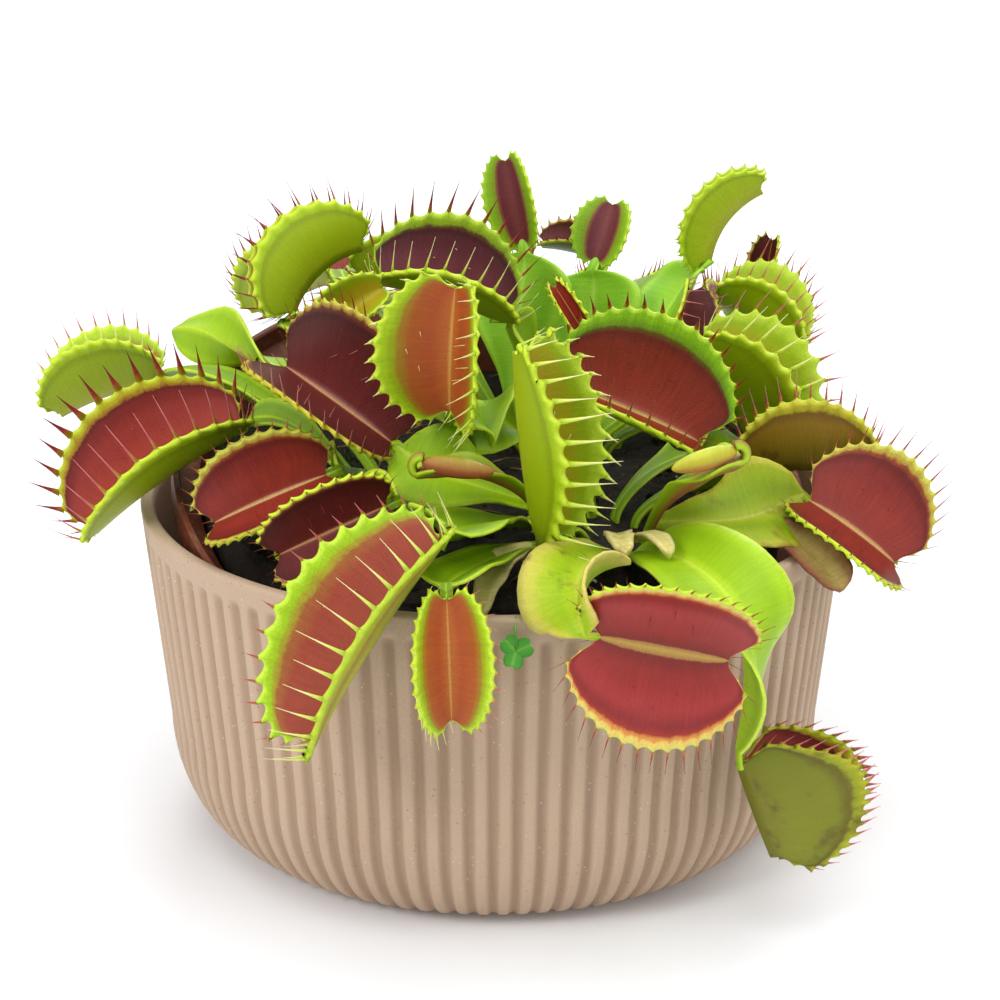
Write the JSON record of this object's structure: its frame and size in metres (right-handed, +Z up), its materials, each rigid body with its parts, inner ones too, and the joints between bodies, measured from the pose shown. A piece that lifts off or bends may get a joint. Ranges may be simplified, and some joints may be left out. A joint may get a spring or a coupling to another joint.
{
  "type": "potted venus flytrap",
  "caption": "Venus flytrap with open and folded toothed traps on winged stalks, rooted in soil in a leaning nursery pot inside a round fluted bowl.",
  "frame": {"origin": "centre of the bowl's foot, on the plane it stands on", "axes": "+Z up along the bowl's axis; -Y towards the viewer of the source picture, +X to the viewer's right"},
  "size_m": [0.1556, 0.161, 0.1092],
  "materials": {
    "stoneware": "matte speckled beige stoneware",
    "terracotta_plastic": "brown-red nursery-pot plastic",
    "peat": null,
    "trap_red": null,
    "trap_maroon": null,
    "trap_orange": null,
    "trap_pale": null,
    "leaf_plain": null
  },
  "bodies": {
    "root": {"bowl": "stoneware", "leaf_01_far_left": "trap_red", "leaf_02_behind_left": "trap_orange", "leaf_03_maroon_left": "trap_maroon", "leaf_04_low_left": "trap_red", "leaf_05_low_middle": "trap_maroon", "leaf_06_upright_orange": "trap_orange", "leaf_07_purple_back": "trap_maroon", "leaf_08_closed_left": "trap_red", "leaf_09_small_left": "trap_pale", "leaf_10_pale_middle": "trap_pale", "leaf_11_big_red": "trap_red", "leaf_12_green_right": "trap_pale", "leaf_13_olive_right": "trap_orange", "leaf_14_red_right": "trap_red", "leaf_15_front": "trap_maroon", "leaf_16_long_front": "trap_orange", "leaf_17_small_front": "trap_orange", "leaf_18_hanging": "trap_pale", "leaf_19_tall_closed": "trap_pale", "leaf_20_tall_tip": "trap_red", "leaf_21_back_small": "trap_maroon", "leaf_22_back_low": "trap_maroon", "leaf_23_back_maroon": "trap_maroon", "leaf_24_back_right": "trap_pale", "leaf_25_young_centre": "trap_red", "leaf_26_young_right": "trap_red", "leaf_27_young_left": "trap_red", "leaf_28_back_tiny": "trap_maroon", "leaf_29_behind_purple": "trap_pale", "leaf_31_rear_left": "trap_red", "leaf_32_rear_middle": "trap_maroon", "leaf_33_rear_right": "trap_red", "leaf_34_rear_low": "trap_orange", "leaf_35_round_left": "leaf_plain", "nursery_pot": "terracotta_plastic", "soil": "peat"}
  },
  "joints": []
}
